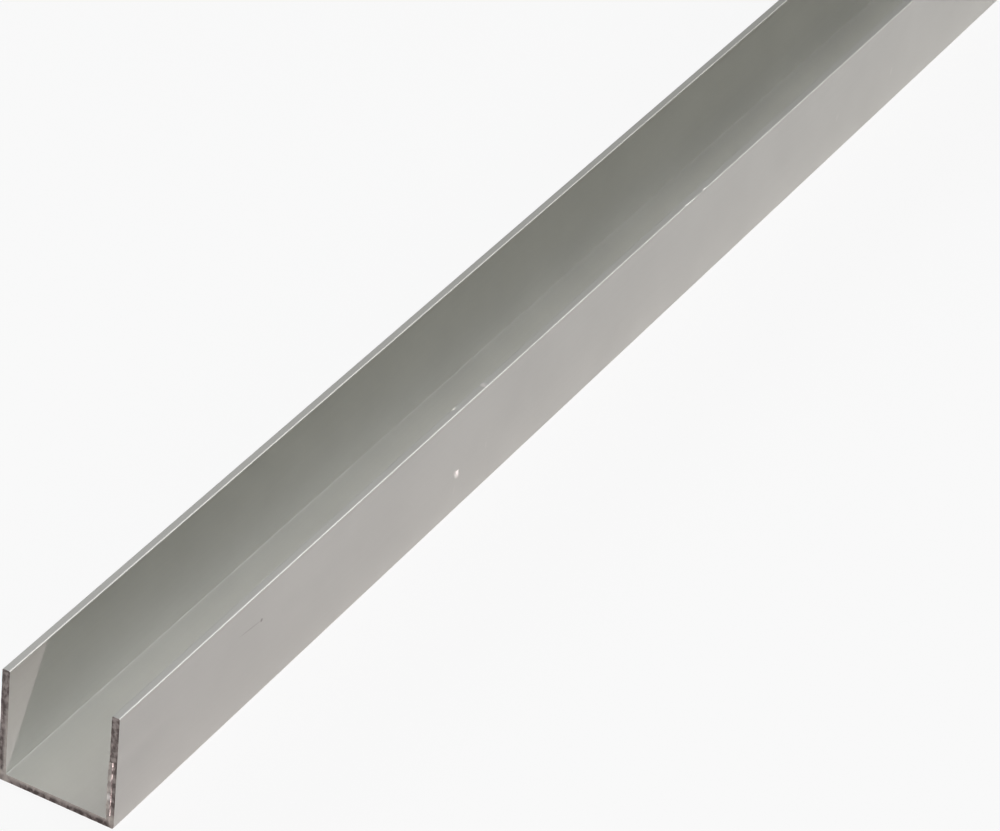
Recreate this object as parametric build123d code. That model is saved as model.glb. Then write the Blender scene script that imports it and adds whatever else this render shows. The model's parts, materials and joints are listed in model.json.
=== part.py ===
"""Aluminium U channel with equal sides: a plain extruded profile, sold as a straight bar.

The bar lies on its web with its open side up, as it rests by itself on a level floor.
X runs along the bar, Y across it and Z up out of the channel.
The origin is the middle of the underside of the web. All sizes are in millimetres.
"""

import os

from build123d import *

# The section, as its trade size gives it: width x height x wall.
section_width = 15.0  # over the outer faces of the two flanges
section_height = 15.0  # from the underside of the web to the flange tips
web_thickness = 1.0
flange_thickness = 1.0

# The small radii that the extrusion die leaves on every long edge.
outer_corner_radius = 0.3  # where the web turns into a flange, outside
inner_corner_radius = 0.3  # the same corner, inside the channel
tip_edge_radius = 0.2  # both edges of each flange tip

# A radius needs some flat left beside it on the wall that it rounds.
largest_share_of_wall = 0.45

# The bar is sawn square at both ends.
bar_length = 1000.0

# Two heights closer than this are one and the same.
same_height = 1e-6


def corners_at_height(sketch, height):
    """The section's corners that lie at one height above the underside."""
    return [v for v in sketch.vertices() if abs(v.Y - height) < same_height]


def channel_section():
    """The U section, drawn across the bar: local X is the bar's Y, local Y is its Z."""
    outline = Rectangle(section_width, section_height, align=(Align.CENTER, Align.MIN))
    channel_width = section_width - 2 * flange_thickness
    channel_depth = section_height - web_thickness
    channel = Pos(0, web_thickness) * Rectangle(
        channel_width, channel_depth, align=(Align.CENTER, Align.MIN)
    )
    section = outline - channel

    tip_radius = min(tip_edge_radius, largest_share_of_wall * flange_thickness)
    section = fillet(corners_at_height(section, section_height), tip_radius)
    section = fillet(corners_at_height(section, web_thickness), inner_corner_radius)
    return fillet(corners_at_height(section, 0), outer_corner_radius)


def u_channel():
    """The whole bar: one extrusion, half its length to each side of the origin."""
    return extrude(Plane.YZ * channel_section(), amount=bar_length / 2, both=True)


os.makedirs("parts", exist_ok=True)
export_step(u_channel(), "parts/u_channel.step")
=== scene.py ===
"""The looks of a straight bar of silver anodised aluminium U channel, sawn square at both ends.

The bar lies on its web with its open side up. X runs along the bar, Y across it and Z up.
Its sawn near end, which the camera looks at, is at the low end of X. Sizes are in metres.
"""

import json
import math

import bmesh
import bpy
from mathutils import Euler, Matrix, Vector


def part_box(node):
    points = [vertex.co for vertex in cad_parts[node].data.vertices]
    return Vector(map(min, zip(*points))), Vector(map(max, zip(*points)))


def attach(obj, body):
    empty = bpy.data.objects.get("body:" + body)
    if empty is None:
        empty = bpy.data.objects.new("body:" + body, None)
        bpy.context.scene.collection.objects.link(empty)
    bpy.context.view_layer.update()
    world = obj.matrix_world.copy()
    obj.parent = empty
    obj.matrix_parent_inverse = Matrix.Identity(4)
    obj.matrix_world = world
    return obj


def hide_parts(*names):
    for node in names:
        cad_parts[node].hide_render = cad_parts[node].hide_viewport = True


bl_info = {
    "name": "Aluminium U channel",
    "version": (1, 0, 0),
    "blender": (4, 5, 0),
    "location": "3D View > Sidebar > U channel",
    "description": "Draws a bar of anodised aluminium U channel and the studio that it lies in",
    "category": "Add Mesh",
}

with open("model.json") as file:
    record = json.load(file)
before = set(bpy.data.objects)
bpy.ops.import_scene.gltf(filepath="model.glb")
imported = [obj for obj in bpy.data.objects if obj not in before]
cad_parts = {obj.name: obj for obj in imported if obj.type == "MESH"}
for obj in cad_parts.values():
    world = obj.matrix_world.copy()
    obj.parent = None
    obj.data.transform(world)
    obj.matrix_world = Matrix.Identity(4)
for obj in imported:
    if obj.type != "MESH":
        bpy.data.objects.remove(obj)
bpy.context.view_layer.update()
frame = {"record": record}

MM = 0.001
MICRON = 0.000001
PIECE = "u_channel_bar"
NODE = "u_channel"
mounts = {mount["name"]: Vector(mount["pos_m"]) for mount in frame["record"]["mounts"]}
BOX_LOW, BOX_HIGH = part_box(NODE)
SMALLEST = 1e-6  # lengths that differ by less are the same
FACING = 0.9  # a face whose normal is this much along an axis faces that way

# How finely the bar is cut up before its ends and marks are shaped.
STRIP_WIDTH = 0.5 * MM
ARC_SEGMENTS = 8
SMOOTH_ANGLE = math.radians(30)
CUT_STRETCH = 0.4 * MM  # the last stretch before a cut, kept apart so that only the cut is shaped

# What the saw leaves: facets over the whole cut, and a burr along part of the near flange's.
SAW_GRAIN = 0.6 * MM
FACET_CUTS = 3  # how many times each edge in the cut is divided
BURR_WIDTH = 0.5 * MM
BURR_BOTTOM = 1.6 * MM
BURR_TOP = 8.9 * MM
BURR_OVERHANG = 0.08 * MM  # how far the burr leans over the channel
BURR_GRAIN = 0.8 * MM
BURR_RAGGED = 0.2 * MM  # how far its edge wanders

# A displaced surface moves inwards only, or as far to one side as to the other.
INWARDS, BOTH_WAYS = 0, 0.5

# Knocks on the near flange, four on its tip and one on its outer face: how far from the sawn
# end, over what half length, across which part of the wall, counted from its outer face, at
# what height, and how far the metal is pushed.
NICK_FLOOR = 0.5  # the share of a knock's length that is pushed all the way
AT_TIP = (14.65 * MM, 15.1 * MM)
AT_OUTER_FACE = (-0.1 * MM, 0.1 * MM)
NICKS = (
    {"from_end": 79.4 * MM, "half_length": 0.4 * MM, "from_face": (0.15 * MM, 0.6 * MM),
     "height": AT_TIP, "push": (0, 0, -0.2 * MM)},
    {"from_end": 72.8 * MM, "half_length": 0.6 * MM, "from_face": (0.75 * MM, 0.88 * MM),
     "height": AT_TIP, "push": (0, 0, -0.1 * MM)},
    {"from_end": 130.8 * MM, "half_length": 0.6 * MM, "from_face": (-0.1 * MM, 0.3 * MM),
     "height": AT_TIP, "push": (0, 0.1 * MM, -0.06 * MM)},
    {"from_end": 136.0 * MM, "half_length": 0.6 * MM, "from_face": (-0.1 * MM, 0.5 * MM),
     "height": AT_TIP, "push": (0, 0.12 * MM, -0.1 * MM)},
    {"from_end": 73.5 * MM, "half_length": 0.5 * MM, "from_face": AT_OUTER_FACE,
     "height": (5.4 * MM, 5.6 * MM), "push": (0, 0.3 * MM, 0)},
)

# The bar's material slots for its cut and its burr. Slot 0 is the skin, which the rest keeps.
SAWN, BURR = 1, 2

# The skin's pattern. The etch's own grain is far finer than a pixel, so only its clouding and
# the die's lines are drawn, and the lines are wider and deeper than the real 0.05 mm ones.
SKIN_ROUGHNESS = 0.5
ETCH_CLOUD = 12 * MM
DIE_LINE_LENGTH = 60 * MM
DIE_LINE_WIDTH = 0.3 * MM
DIE_LINE_DEPTH = 4 * MICRON
SHEEN_CHANGE = 0.03  # how much rougher or smoother a die line is
SHEEN_FROM, SHEEN_TO = 0.3, 0.7  # the part of the line pattern that changes the sheen
SKIN_DETAIL = 2  # how many finer layers its noise has

# The cut's pattern: how long, wide and tall a tooth's mark is, and how wavy its edges are.
TOOTH_MARK = (1.0 * MM, 0.6 * MM, 0.9 * MM)
TOOTH_DEPTH = 30 * MICRON
TOOTH_DETAIL = 3  # how many finer layers its noise has
TORN_BELOW, SLID_ABOVE = 0.42, 0.62  # the parts of the pattern that are all torn and all bright
RAGGED_GRAIN = 0.4 * MM
RAGGED_REACH = 0.35 * MM
RAGGED_DETAIL = 2  # the same for its edges
CLOUD_MIDDLE = 0.5  # a noise pattern's mean
CUT_ROUGHNESS = 0.55
BURR_ROUGHNESS = 0.5
MARK_CORE = 0.4  # the share of a mark's half size within which it shows in full

# A Mix node's sockets for colours, which share their names with its other sockets.
MIX_A, MIX_B = 6, 7
MIX_RESULT = 2

# Where the skin is knocked through to bright metal, with painted glints where knocks catch the
# light, or scored dark, where metal is smeared over the cut, and where a painted glint lies on the
# burr: each mark's middle and half size in millimetres, its turn about Y in degrees, and how much of
# it shows.
BARE_MARKS_AND_GLINTS = (
    # The first is bare metal on a knock in the outer face, with its glint painted on. The next four
    # are faint specks.
    {"place": (-426.5, -7.5, 5.5), "half": (1.15, 0.5, 0.55), "turn": 49, "share": 1.0},
    {"place": (-419.4, -7.5, 5.9), "half": (0.25, 0.5, 0.65), "turn": 0, "share": 0.2},
    {"place": (-426.7, -7.5, 3.3), "half": (0.3, 0.5, 0.9), "turn": 15, "share": 0.15},
    {"place": (-304.8, -7.5, 5.6), "half": (0.4, 0.5, 0.8), "turn": 0, "share": 0.2},
    {"place": (-322.3, -7.5, 6.2), "half": (0.5, 0.5, 0.7), "turn": 0, "share": 0.15},
    # These three on the tip are painted glints, where knocked edges catch the light.
    {"place": (-427.2, -6.6, 15.0), "half": (0.35, 0.22, 0.3), "turn": 0, "share": 0.8},
    {"place": (-420.7, -7.0, 15.0), "half": (0.6, 0.6, 0.3), "turn": 0, "share": 1.0},
    {"place": (-364.0, -7.3, 14.9), "half": (0.5, 0.25, 0.3), "turn": 0, "share": 0.5},
)
SCORES = (
    {"place": (-473.2, -7.5, 10.9), "half": (3.0, 0.5, 0.14), "turn": 5, "share": 0.3},
    {"place": (-471.0, -7.5, 10.7), "half": (0.3, 0.5, 0.3), "turn": 0, "share": 0.8},
)
SMEARS = (
    {"place": (-500, -7.1, 1.0), "half": (1.0, 0.7, 1.1), "turn": 0, "share": 0.9},
    {"place": (-500, 0, 1.05), "half": (1.0, 20.0, 0.6), "turn": 0, "share": 0.8},
    {"place": (-500, 6.5, 3.0), "half": (1.0, 0.6, 9.5), "turn": 0, "share": 0.8},
)
# A glint on the burr, painted in the colour of bright metal.
BURR_GLINTS = (
    {"place": (-500, -6.65, 4.1), "half": (1.0, 0.45, 0.6), "turn": 0, "share": 1.0},
)

# The photograph's camera, in millimetres and degrees, with a full-frame sensor 36 mm wide.
CAMERA_PLACE = Vector((-828.07, -206.19, 314.46)) * MM
CAMERA_TURN = (56.034, -5.342, -60.646)
CAMERA_LENS = 164.97
CLOSEST_SEEN = 10 * MM

# The lamps are round discs that aim at the near end. Where one stands is given in degrees from
# +X towards +Y, in degrees above the floor, and in metres from the near end. Its width is in
# metres too. A radiance of 1 is a white as bright as the sky's.
NEAR_END = Vector((-420, 0, 7)) * MM
LAMPS = (
    {"name": "rear_lamp", "azimuth": 90, "height": 34, "distance": 0.7, "width": 0.36,
     "radiance": 5.1, "colour": "F8FEFF"},
    {"name": "side_lamp", "azimuth": 300, "height": 34, "distance": 0.7, "width": 0.36,
     "radiance": 2.6, "colour": "FFFCF9"},
    {"name": "edge_lamp", "azimuth": 318, "height": 22, "distance": 0.7, "width": 0.15,
     "radiance": 7.4, "colour": "FFFFF8"},
    {"name": "front_lamp", "azimuth": 315, "height": 60, "distance": 0.45, "width": 0.23,
     "radiance": 2.8, "colour": "F8F8FF"},
    {"name": "back_lamp", "azimuth": 45, "height": 60, "distance": 0.45, "width": 0.23,
     "radiance": 0.62, "colour": "FFF8FF"},
    {"name": "far_lamp", "azimuth": 30, "height": 34, "distance": 0.7, "width": 0.36,
     "radiance": 0.32, "colour": "FFFDFA"},
)
# Two more light the rest of the bar, and are turned away from its near end. Their places are in
# millimetres.
FAR_HALF_LAMPS = (
    {"name": "far_half_front_lamp", "place": (120, -350, 300)},
    {"name": "far_half_rear_lamp", "place": (120, 350, 300)},
)
FAR_HALF_AIM = Vector((720, 0, -100)) * MM
FAR_HALF_WIDTH = 0.3
FAR_HALF_RADIANCE = 5.5
# The table mirrors a small lamp in front of the open end, which so lights the bar from below,
# and draws the pale triangle inside the far flange. It also lights the underside. Its power is
# in watts.
MIRRORED_AIM = Vector((-500, 6.5, 1)) * MM
MIRRORED_TOWARDS = Vector((-0.52, -0.85, -1))
MIRRORED_DISTANCE = 0.7
MIRRORED_WIDTH = 20 * MM
MIRRORED_POWER = 5.5
MIRRORED_COLOUR = "FFEEF2"

# The floor and the sky. Both are white to the camera. The floor keeps a small part of its own
# shading, which is too little for the bar's shadow to show. The metal sees less of that white,
# so that it is as dark as in the photograph.
FLOOR_WIDTH = 60
FLOOR_DROP = 0.02 * MM
FLOOR_WHITE_TO_CAMERA = 0.86  # at the origin; the rest is the floor's own shading
FLOOR_ALL_WHITE_FROM = 1.2  # metres from the origin
WHITE_TO_METAL = 0.15
SKY_LIGHT = 0.03  # what the sky gives to all other rays


def linear_from_hex(colour):
    """The linear red, green and blue of an sRGB colour such as B3AFAA, by the sRGB standard."""
    channels = [int(colour[place : place + 2], 16) / 255 for place in (0, 2, 4)]
    return tuple(c / 12.92 if c <= 0.04045 else ((c + 0.055) / 1.055) ** 2.4 for c in channels)


def size_property(name, description, default):
    """A length in metres that a user may change."""
    return bpy.props.FloatProperty(
        name=name, description=description, default=default, min=0, unit="LENGTH", precision=5
    )


def colour_property(name, description, default):
    """A colour that a user may change, given as an sRGB hex value."""
    return bpy.props.FloatVectorProperty(
        name=name, description=description, default=linear_from_hex(default),
        size=3, min=0, max=1, subtype="COLOR",
    )


class ChannelSizes(bpy.types.PropertyGroup):
    """The section and length of the bar."""

    bar_length: size_property("Length", "From sawn end to sawn end", BOX_HIGH.x - BOX_LOW.x)
    section_width: size_property("Width", "Over both flanges", BOX_HIGH.y - BOX_LOW.y)
    section_height: size_property("Height", "Underside to flange tips", BOX_HIGH.z - BOX_LOW.z)
    web_thickness: size_property("Web", "Wall thickness of the web", mounts["channel_floor"].z)
    flange_thickness: size_property("Flange", "Wall thickness of each flange", 1.0 * MM)
    outer_corner_radius: size_property("Outer corner", "Radius outside each corner", 0.3 * MM)
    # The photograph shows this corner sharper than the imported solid's, which has 0.3 mm.
    inner_corner_radius: size_property("Inner corner", "Radius inside each corner", 0.15 * MM)
    tip_edge_radius: size_property("Tip edge", "Radius of both edges of a flange tip", 0.2 * MM)
    burr_height: size_property("Burr", "How far the saw's burr stands out of the cut", 0.1 * MM)
    saw_roughness: size_property("Saw roughness", "Depth of the marks in the cut", 0.04 * MM)


class ChannelFinish(bpy.types.PropertyGroup):
    """The colours of the skin and of the cut metal."""

    skin_colour: colour_property("Skin", "Silver anodised skin", "E7E7E2")
    skin_shade: colour_property("Skin's shade", "The etch's darker clouds", "DCDCD7")
    score_colour: colour_property("Score", "Fine scores in the skin", "A8A39F")
    # Its white also paints the glints on the knocks and on the burr.
    bare_and_glint_colour: colour_property("Bare metal", "Where the skin is knocked through", "FFFCF8")
    # The cut is drawn dark brown-grey all over, darker than the skin.
    cut_colour: colour_property("Cut", "Torn metal of the cut", "7A716E")
    cut_bright: colour_property("Bright cut", "Facets that a tooth slid over", "B9B0AB")
    burr_colour: colour_property("Burr", "Smeared metal of the burr", "E2DCD4")


class ChannelStudio(bpy.types.PropertyGroup):
    """The light and the floor."""

    floor_colour: colour_property("Floor", "Matt white floor", "E7E7E7")


def deselect_all_objects():
    bpy.ops.object.select_all(action="DESELECT")


def select_by_place(bar, kind, wanted):
    """Selects, in edit mode, the verts, edges or faces of the bar for which wanted is true."""
    bpy.ops.mesh.select_mode(type={"verts": "VERT", "edges": "EDGE", "faces": "FACE"}[kind])
    bpy.ops.mesh.select_all(action="DESELECT")
    mesh = bmesh.from_edit_mesh(bar.data)
    for element in getattr(mesh, kind):
        if wanted(element):
            element.select_set(True)
    mesh.select_flush_mode()
    bmesh.update_edit_mesh(bar.data)


def cut_across(place, direction):
    """Cuts an edge loop round the whole bar, where a plane at place crosses it."""
    bpy.ops.mesh.select_all(action="SELECT")
    bpy.ops.mesh.bisect(plane_co=place, plane_no=direction)


def near(value, target):
    return abs(value - target) < SMALLEST


def runs_lengthwise(edge):
    """True for an edge that runs along the bar."""
    start, end = (vert.co for vert in edge.verts)
    return near(start.y, end.y) and near(start.z, end.z)


def draw_section(sizes):
    """The web as a block, cut into strips, with a flange drawn up from each long side."""
    half_width = sizes.section_width / 2
    half_gap = half_width - sizes.flange_thickness
    bpy.ops.mesh.primitive_cube_add(
        size=1,
        location=(0, 0, sizes.web_thickness / 2),
        scale=(sizes.bar_length - 2 * sizes.burr_height, sizes.section_width, sizes.web_thickness),
    )
    bar = bpy.context.object
    bar.name = bar.data.name = PIECE
    bpy.ops.object.transform_apply(location=True, rotation=True, scale=True)
    bpy.ops.object.mode_set(mode="EDIT")
    strips = round(2 * half_gap / STRIP_WIDTH)
    for step in range(strips + 1):
        cut_across((0, half_gap * (2 * step / strips - 1), 0), (0, 1, 0))
    select_by_place(
        bar, "faces", lambda f: f.normal.z > FACING and abs(f.calc_center_median().y) > half_gap
    )
    rise = sizes.section_height - sizes.web_thickness
    bpy.ops.mesh.extrude_region_move(TRANSFORM_OT_translate={"value": (0, 0, rise)})
    strips = round(rise / STRIP_WIDTH)
    for step in range(1, strips):
        cut_across((0, 0, sizes.web_thickness + step * rise / strips), (0, 0, 1))
    return bar


def round_long_edges(bar, sizes):
    """The small radii that the die leaves on the tips and corners."""
    half_width = sizes.section_width / 2
    half_gap = half_width - sizes.flange_thickness
    corners = (
        (sizes.tip_edge_radius, (half_width, half_gap), sizes.section_height),
        (sizes.inner_corner_radius, (half_gap,), sizes.web_thickness),
        (sizes.outer_corner_radius, (half_width,), 0),
    )
    for radius, sides, height in corners:
        select_by_place(
            bar,
            "edges",
            lambda e: runs_lengthwise(e)
            and near(e.verts[0].co.z, height)
            and any(near(abs(e.verts[0].co.y), side) for side in sides),
        )
        bpy.ops.mesh.bevel(offset=radius, segments=ARC_SEGMENTS, affect="EDGES")


def roughen_sawn_ends(bar, sizes):
    """Both ends get the saw's own finish: a fine grid of facets, slightly out of plane."""
    end = sizes.bar_length / 2 - sizes.burr_height
    for side in (-1, 1):
        cut_across((side * (end - CUT_STRETCH), 0, 0), (1, 0, 0))
    select_by_place(bar, "faces", lambda f: abs(f.normal.x) > FACING)
    bar.active_material_index = SAWN
    bpy.ops.object.material_slot_assign()
    bpy.ops.mesh.quads_convert_to_tris(quad_method="BEAUTY", ngon_method="BEAUTY")
    bpy.ops.mesh.subdivide(number_cuts=FACET_CUTS)
    select_by_place(bar, "verts", lambda v: near(abs(v.co.x), end))
    name_selected(bar, "sawn")


def raise_burr(bar, sizes):
    """The saw's burr: a ragged lip along the lower inner edge of the near flange's cut."""
    end = -sizes.bar_length / 2 + sizes.burr_height
    inner = -sizes.section_width / 2 + sizes.flange_thickness
    select_by_place(
        bar,
        "faces",
        lambda f: f.calc_center_median().x < end + SMALLEST
        and inner - BURR_WIDTH < f.calc_center_median().y < inner + SMALLEST
        and BURR_BOTTOM < f.calc_center_median().z < BURR_TOP,
    )
    bpy.ops.mesh.extrude_region_move(
        TRANSFORM_OT_translate={"value": (-sizes.burr_height / 2, BURR_OVERHANG, 0)}
    )
    bar.active_material_index = BURR
    bpy.ops.object.material_slot_assign()
    name_selected(bar, "burr")


def press_nicks(bar, sizes):
    """Small dents in the near flange, where the bar has been knocked: flat in the middle of
    their length and sloped towards both ends."""
    near_end = -sizes.bar_length / 2
    outer = -sizes.section_width / 2
    for nick in NICKS:
        place = near_end + nick["from_end"]
        floor = NICK_FLOOR * nick["half_length"] + SMALLEST
        for station in (-1, -NICK_FLOOR, NICK_FLOOR, 1):
            cut_across((place + station * nick["half_length"], 0, 0), (1, 0, 0))
        select_by_place(
            bar,
            "verts",
            lambda v: abs(v.co.x - place) < floor
            and nick["from_face"][0] < v.co.y - outer < nick["from_face"][1]
            and nick["height"][0] < v.co.z < nick["height"][1],
        )
        bpy.ops.transform.translate(value=nick["push"])


def name_selected(bar, name):
    """Keeps what is selected as a vertex group."""
    bar.vertex_groups.new(name=name)
    bpy.ops.object.vertex_group_assign()


def displace(bar, group, grain, depth, direction, middle):
    """Moves a named group of vertices in or out by a cloudy pattern."""
    pattern = bpy.data.textures.new(group, "CLOUDS")
    pattern.noise_scale = grain
    pattern.noise_depth = 1  # one coarse layer and one finer one
    bpy.ops.object.modifier_add(type="DISPLACE")
    modifier = bar.modifiers[-1]
    modifier.texture = pattern
    modifier.texture_coords = "LOCAL"
    modifier.vertex_group = group
    modifier.direction = direction
    modifier.strength = depth
    modifier.mid_level = middle
    bpy.ops.object.modifier_apply(modifier=modifier.name)


def keep_flats_flat(bar):
    """Smooth shading on the radii only, so that the flat faces reflect as flats."""
    bpy.ops.object.shade_smooth_by_angle(angle=SMOOTH_ANGLE)
    bpy.ops.object.modifier_add(type="WEIGHTED_NORMAL")
    modifier = bar.modifiers[-1]
    modifier.keep_sharp = True
    bpy.ops.object.modifier_apply(modifier=modifier.name)


class MESH_OT_u_channel_bar(bpy.types.Operator):
    """Draw the bar, with its rounded edges, its sawn ends and its marks"""

    bl_idname = "mesh.u_channel_bar"
    bl_label = "Draw U channel bar"

    def execute(self, context):
        sizes = context.scene.channel_sizes
        deselect_all_objects()
        finish = context.scene.channel_finish
        bar = draw_section(sizes)
        for material in (anodised_skin(finish), sawn_metal(finish), smeared_metal(finish)):
            bar.data.materials.append(material)
        round_long_edges(bar, sizes)
        roughen_sawn_ends(bar, sizes)
        raise_burr(bar, sizes)
        press_nicks(bar, sizes)
        bpy.ops.object.mode_set(mode="OBJECT")
        displace(bar, "sawn", SAW_GRAIN, -sizes.saw_roughness, "NORMAL", INWARDS)
        displace(bar, "burr", BURR_GRAIN, BURR_RAGGED, "Y", BOTH_WAYS)
        keep_flats_flat(bar)
        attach(bar, "root")
        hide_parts(NODE)
        return {"FINISHED"}


def add_node(tree, kind, settings=(), links=()):
    """Adds a node, sets its properties and inputs, and links its inputs to other nodes' outputs."""
    node = tree.nodes.new(kind)
    for name, value in dict(settings).items():
        if isinstance(name, int) or name in node.inputs:
            node.inputs[name].default_value = value
        else:
            setattr(node, name, value)
    for name, output in dict(links).items():
        tree.links.new(output, node.inputs[name])
    return node


def bare_metal(name, roughness):
    """A new material of plain metal, with its node tree and its shader."""
    material = bpy.data.materials.new(name)
    material.use_nodes = True
    shader = material.node_tree.nodes["Principled BSDF"]
    shader.inputs["Metallic"].default_value = 1
    shader.inputs["Roughness"].default_value = roughness
    return material, material.node_tree, shader


def show_marks(tree, place, marks):
    """How much of any of the marks shows at a place: each is soft-edged and egg-shaped."""
    shown = None
    for mark in marks:
        from_mark = add_node(
            tree,
            "ShaderNodeMapping",
            {
                "vector_type": "TEXTURE",
                "Location": Vector(mark["place"]) * MM,
                "Rotation": (0, math.radians(mark["turn"]), 0),
                "Scale": Vector(mark["half"]) * MM,
            },
            {"Vector": place},
        )
        distance = add_node(
            tree, "ShaderNodeVectorMath", {"operation": "LENGTH"}, {0: from_mark.outputs["Vector"]}
        )
        share = add_node(
            tree,
            "ShaderNodeMapRange",
            {"From Min": 1, "From Max": MARK_CORE, "To Min": 0, "To Max": mark["share"]},
            {"Value": distance.outputs["Value"]},
        ).outputs["Result"]
        if shown:
            share = add_node(
                tree, "ShaderNodeMath", {"operation": "MAXIMUM"}, {0: shown, 1: share}
            ).outputs["Value"]
        shown = share
    return shown


def ragged_place(tree, place):
    """The place, shifted to and fro by a fine cloud, which gives what is drawn there a torn edge."""
    cloud = add_node(
        tree,
        "ShaderNodeTexNoise",
        {"Scale": 1 / RAGGED_GRAIN, "Detail": RAGGED_DETAIL},
        {"Vector": place},
    )
    both_ways = add_node(
        tree,
        "ShaderNodeVectorMath",
        {"operation": "SUBTRACT", 1: (CLOUD_MIDDLE,) * 3},
        {0: cloud.outputs["Color"]},
    )
    return add_node(
        tree,
        "ShaderNodeVectorMath",
        {"operation": "MULTIPLY_ADD", 1: (RAGGED_REACH,) * 3},
        {0: both_ways.outputs["Vector"], 2: place},
    ).outputs["Vector"]


def tooth_marks(tree, place):
    """Patches as large as a saw tooth's marks, from 0 where torn to 1 where the tooth slid."""
    teeth = add_node(
        tree, "ShaderNodeMapping", {"Scale": [1 / size for size in TOOTH_MARK]}, {"Vector": place}
    )
    patches = add_node(
        tree,
        "ShaderNodeTexNoise",
        {"Scale": 1, "Detail": TOOTH_DETAIL},
        {"Vector": teeth.outputs["Vector"]},
    )
    return add_node(
        tree,
        "ShaderNodeMapRange",
        {"From Min": TORN_BELOW, "From Max": SLID_ABOVE},
        {"Value": patches.outputs["Fac"]},
    ).outputs["Result"]


def anodised_skin(finish):
    """Extruded, etched and silver anodised: an even, soft grey sheen. It shows the etch's faint
    clouds, the die's fine lines along the bar, and bare metal where it has been knocked, with
    painted glints on some of the knocks."""
    material, tree, shader = bare_metal("satin_anodised_aluminium", SKIN_ROUGHNESS)
    place = add_node(tree, "ShaderNodeTexCoord").outputs["Object"]
    clouds = add_node(
        tree,
        "ShaderNodeTexNoise",
        {"Scale": 1 / ETCH_CLOUD, "Detail": SKIN_DETAIL},
        {"Vector": place},
    )
    along = add_node(
        tree,
        "ShaderNodeMapping",
        {"Scale": (1 / DIE_LINE_LENGTH, 1 / DIE_LINE_WIDTH, 1 / DIE_LINE_WIDTH)},
        {"Vector": place},
    )
    lines = add_node(
        tree,
        "ShaderNodeTexNoise",
        {"Scale": 1, "Detail": SKIN_DETAIL},
        {"Vector": along.outputs["Vector"]},
    )
    skin = add_node(
        tree,
        "ShaderNodeMix",
        {"data_type": "RGBA", MIX_A: (*finish.skin_colour, 1), MIX_B: (*finish.skin_shade, 1)},
        {"Factor": clouds.outputs["Fac"]},
    )
    scored = add_node(
        tree,
        "ShaderNodeMix",
        {"data_type": "RGBA", MIX_B: (*finish.score_colour, 1)},
        {"Factor": show_marks(tree, place, SCORES), MIX_A: skin.outputs[MIX_RESULT]},
    )
    # Bare metal where knocked, and painted glints.
    colour = add_node(
        tree,
        "ShaderNodeMix",
        {"data_type": "RGBA", MIX_B: (*finish.bare_and_glint_colour, 1)},
        {"Factor": show_marks(tree, place, BARE_MARKS_AND_GLINTS), MIX_A: scored.outputs[MIX_RESULT]},
    )
    tree.links.new(colour.outputs[MIX_RESULT], shader.inputs["Base Color"])
    sheen = add_node(
        tree,
        "ShaderNodeMapRange",
        {
            "From Min": SHEEN_FROM,
            "From Max": SHEEN_TO,
            "To Min": SKIN_ROUGHNESS - SHEEN_CHANGE,
            "To Max": SKIN_ROUGHNESS + SHEEN_CHANGE,
        },
        {"Value": lines.outputs["Fac"]},
    )
    tree.links.new(sheen.outputs["Result"], shader.inputs["Roughness"])
    relief = add_node(
        tree, "ShaderNodeBump", {"Distance": DIE_LINE_DEPTH}, {"Height": lines.outputs["Fac"]}
    )
    tree.links.new(relief.outputs["Normal"], shader.inputs["Normal"])
    return material


def torn_metal(name, roughness, dull, bright, marks, pale):
    """A new material of metal torn by the saw: patches from dull to bright, with pale marks, which
    on the burr are a painted glint.
    """
    material, tree, shader = bare_metal(name, roughness)
    place = ragged_place(tree, add_node(tree, "ShaderNodeTexCoord").outputs["Object"])
    patches = tooth_marks(tree, place)
    torn = add_node(
        tree,
        "ShaderNodeMix",
        {"data_type": "RGBA", MIX_A: (*dull, 1), MIX_B: (*bright, 1)},
        {"Factor": patches},
    )
    colour = add_node(
        tree,
        "ShaderNodeMix",
        {"data_type": "RGBA", MIX_B: (*pale, 1)},
        {"Factor": show_marks(tree, place, marks), MIX_A: torn.outputs[MIX_RESULT]},
    )
    tree.links.new(colour.outputs[MIX_RESULT], shader.inputs["Base Color"])
    relief = add_node(tree, "ShaderNodeBump", {"Distance": TOOTH_DEPTH}, {"Height": patches})
    tree.links.new(relief.outputs["Normal"], shader.inputs["Normal"])
    return material


def sawn_metal(finish):
    """Sawn and left raw: metal drawn dark brown-grey, with brighter patches where a tooth slid and
    pale metal smeared over the corner, the web's top edge and the far flange's inner edge."""
    return torn_metal(
        "sawn_aluminium",
        CUT_ROUGHNESS,
        finish.cut_colour,
        finish.cut_bright,
        SMEARS,
        finish.burr_colour,
    )


def smeared_metal(finish):
    """The burr: metal smeared thin and bright by the blade, with dull tears and one painted glint.
    """
    return torn_metal(
        "smeared_aluminium",
        BURR_ROUGHNESS,
        finish.cut_bright,
        finish.burr_colour,
        BURR_GLINTS,
        finish.bare_and_glint_colour,
    )


def add_white_to_metal(tree, rays, white):
    """Adds what metal and glass see of the background's white to what the camera sees of it."""
    metal_or_glass = add_node(
        tree,
        "ShaderNodeMath",
        {"operation": "MAXIMUM"},
        {0: rays.outputs["Is Glossy Ray"], 1: rays.outputs["Is Transmission Ray"]},
    )
    return add_node(
        tree,
        "ShaderNodeMath",
        {"operation": "MULTIPLY_ADD", 1: WHITE_TO_METAL},
        {0: metal_or_glass.outputs["Value"], 2: white},
    ).outputs["Value"]


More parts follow.
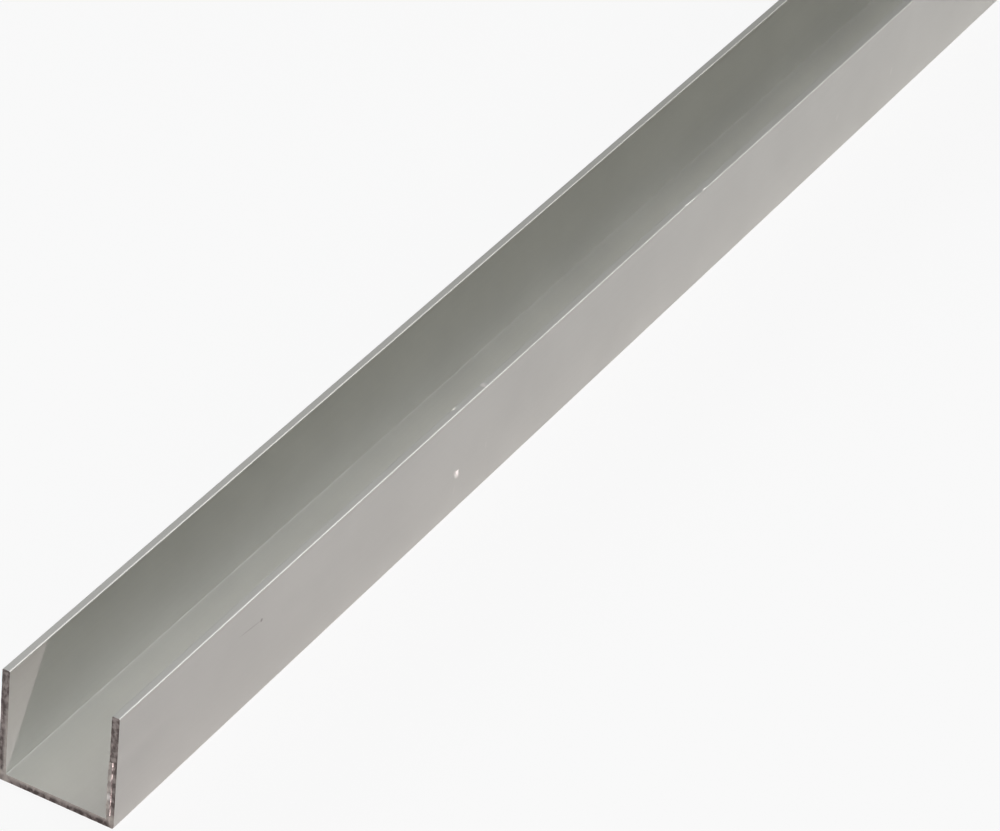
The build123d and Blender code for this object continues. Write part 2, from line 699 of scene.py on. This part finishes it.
def matt_floor(studio):
    """A matt white table top, with an even, soft white and no shine. It is whiter to the camera
    than its light makes it, as in an overexposed photograph. It can't be seen from below, and
    shadow rays pass it, so that the mirrored lamp's light comes through."""
    material = bpy.data.materials.new("matt_white_tabletop")
    material.use_nodes = True
    tree = material.node_tree
    tree.nodes.clear()
    place = add_node(tree, "ShaderNodeTexCoord").outputs["Object"]
    distance = add_node(tree, "ShaderNodeVectorMath", {"operation": "LENGTH"}, {0: place})
    white_to_camera = add_node(
        tree,
        "ShaderNodeMapRange",
        {
            "From Min": 0,
            "From Max": FLOOR_ALL_WHITE_FROM,
            "To Min": FLOOR_WHITE_TO_CAMERA,
            "To Max": 1,
        },
        {"Value": distance.outputs["Value"]},
    )
    rays = add_node(tree, "ShaderNodeLightPath")
    to_camera = add_node(
        tree,
        "ShaderNodeMath",
        {"operation": "MULTIPLY"},
        {0: rays.outputs["Is Camera Ray"], 1: white_to_camera.outputs["Result"]},
    )
    white = add_white_to_metal(tree, rays, to_camera.outputs["Value"])
    matt = add_node(tree, "ShaderNodeBsdfDiffuse", {"Color": (*studio.floor_colour, 1)})
    glow = add_node(tree, "ShaderNodeEmission", {"Color": (1, 1, 1, 1), "Strength": 1})
    lit = add_node(
        tree,
        "ShaderNodeMixShader",
        {},
        {0: white, 1: matt.outputs["BSDF"], 2: glow.outputs["Emission"]},
    )
    below = add_node(tree, "ShaderNodeNewGeometry").outputs["Backfacing"]
    open_to_light = add_node(
        tree,
        "ShaderNodeMath",
        {"operation": "MAXIMUM"},
        {0: below, 1: rays.outputs["Is Shadow Ray"]},
    )
    clear = add_node(tree, "ShaderNodeBsdfTransparent")
    surface = add_node(
        tree,
        "ShaderNodeMixShader",
        {},
        {0: open_to_light.outputs["Value"], 1: lit.outputs["Shader"], 2: clear.outputs["BSDF"]},
    )
    add_node(tree, "ShaderNodeOutputMaterial", {}, {"Surface": surface.outputs["Shader"]})
    return material


def lay_floor(studio):
    """The table top under the bar."""
    bpy.ops.mesh.primitive_plane_add(size=FLOOR_WIDTH, location=(0, 0, -FLOOR_DROP))
    floor = bpy.context.object
    floor.name = "floor"
    floor.data.materials.append(matt_floor(studio))


def hang_sky(scene):
    """A sky that is white to the camera, dimmer to metal and glass, and faint to all else."""
    scene.world = bpy.data.worlds.new("studio")
    scene.world.use_nodes = True
    tree = scene.world.node_tree
    rays = add_node(tree, "ShaderNodeLightPath")
    white = add_white_to_metal(tree, rays, rays.outputs["Is Camera Ray"])
    strength = add_node(tree, "ShaderNodeMath", {"operation": "MAXIMUM", 1: SKY_LIGHT}, {0: white})
    sky = tree.nodes["Background"]
    sky.inputs["Color"].default_value = (1, 1, 1, 1)
    tree.links.new(strength.outputs["Value"], sky.inputs["Strength"])


def add_lamp(name, place, aim, width, power, colour="FFFFFF"):
    """A round, soft lamp at a place, turned towards its aim."""
    turn = (place - aim).to_track_quat("Z", "Y").to_euler()
    bpy.ops.object.light_add(type="AREA", location=place, rotation=turn)
    lamp = bpy.context.object
    lamp.name = name
    lamp.data.shape = "DISK"
    lamp.data.size = width
    lamp.data.energy = power
    lamp.data.color = linear_from_hex(colour)
    lamp.visible_camera = False


def disc_power(radiance, width):
    """The power in watts that makes a disc lamp so bright."""
    return radiance * math.pi * math.pi * (width / 2) ** 2


def light_bar():
    """The lamps round the near end, the two for the far half, and the one below the floor."""
    for lamp in LAMPS:
        azimuth = math.radians(lamp["azimuth"])
        height = math.radians(lamp["height"])
        flat = Vector((math.cos(azimuth), math.sin(azimuth), 0)) * math.cos(height)
        place = NEAR_END + (flat + Vector((0, 0, math.sin(height)))) * lamp["distance"]
        power = disc_power(lamp["radiance"], lamp["width"])
        add_lamp(lamp["name"], place, NEAR_END, lamp["width"], power, lamp["colour"])
    for lamp in FAR_HALF_LAMPS:
        power = disc_power(FAR_HALF_RADIANCE, FAR_HALF_WIDTH)
        add_lamp(lamp["name"], Vector(lamp["place"]) * MM, FAR_HALF_AIM, FAR_HALF_WIDTH, power)
    place = MIRRORED_AIM + MIRRORED_TOWARDS.normalized() * MIRRORED_DISTANCE
    add_lamp(
        "mirrored_lamp", place, MIRRORED_AIM, MIRRORED_WIDTH, MIRRORED_POWER, MIRRORED_COLOUR
    )


def set_camera(scene):
    """The camera at the photograph's angle."""
    turn = Euler([math.radians(angle) for angle in CAMERA_TURN])
    bpy.ops.object.camera_add(location=CAMERA_PLACE, rotation=turn)
    camera = bpy.context.object
    camera.name = "camera"
    camera.data.lens = CAMERA_LENS
    camera.data.clip_start = CLOSEST_SEEN
    scene.camera = camera
    scene.view_settings.view_transform = "Standard"


class SCENE_OT_u_channel_studio(bpy.types.Operator):
    """Lay a pale floor under the bar and set the lamps, the sky and the camera"""

    bl_idname = "scene.u_channel_studio"
    bl_label = "Set up the studio"

    def execute(self, context):
        deselect_all_objects()
        lay_floor(context.scene.channel_studio)
        hang_sky(context.scene)
        light_bar()
        set_camera(context.scene)
        return {"FINISHED"}


class VIEW3D_PT_u_channel(bpy.types.Panel):
    """The bar's sizes and colours, and the buttons that draw it and its studio"""

    bl_label = "U channel"
    bl_space_type = "VIEW_3D"
    bl_region_type = "UI"
    bl_category = "U channel"

    def draw(self, context):
        for name, group in SETTINGS.items():
            column = self.layout.column(align=True)
            for setting in group.__annotations__:
                column.prop(getattr(context.scene, name), setting)
        for operator in (MESH_OT_u_channel_bar, SCENE_OT_u_channel_studio):
            self.layout.operator(operator.bl_idname)


CLASSES = (
    ChannelSizes,
    ChannelFinish,
    ChannelStudio,
    MESH_OT_u_channel_bar,
    SCENE_OT_u_channel_studio,
    VIEW3D_PT_u_channel,
)
SETTINGS = {
    "channel_sizes": ChannelSizes,
    "channel_finish": ChannelFinish,
    "channel_studio": ChannelStudio,
}


def register():
    for each in CLASSES:
        bpy.utils.register_class(each)
    for name, group in SETTINGS.items():
        setattr(bpy.types.Scene, name, bpy.props.PointerProperty(type=group))


def unregister():
    for name in SETTINGS:
        delattr(bpy.types.Scene, name)
    for each in reversed(CLASSES):
        bpy.utils.unregister_class(each)


def main():
    register()
    bpy.ops.mesh.u_channel_bar()
    bpy.ops.scene.u_channel_studio()


if __name__ == "__main__":
    main()
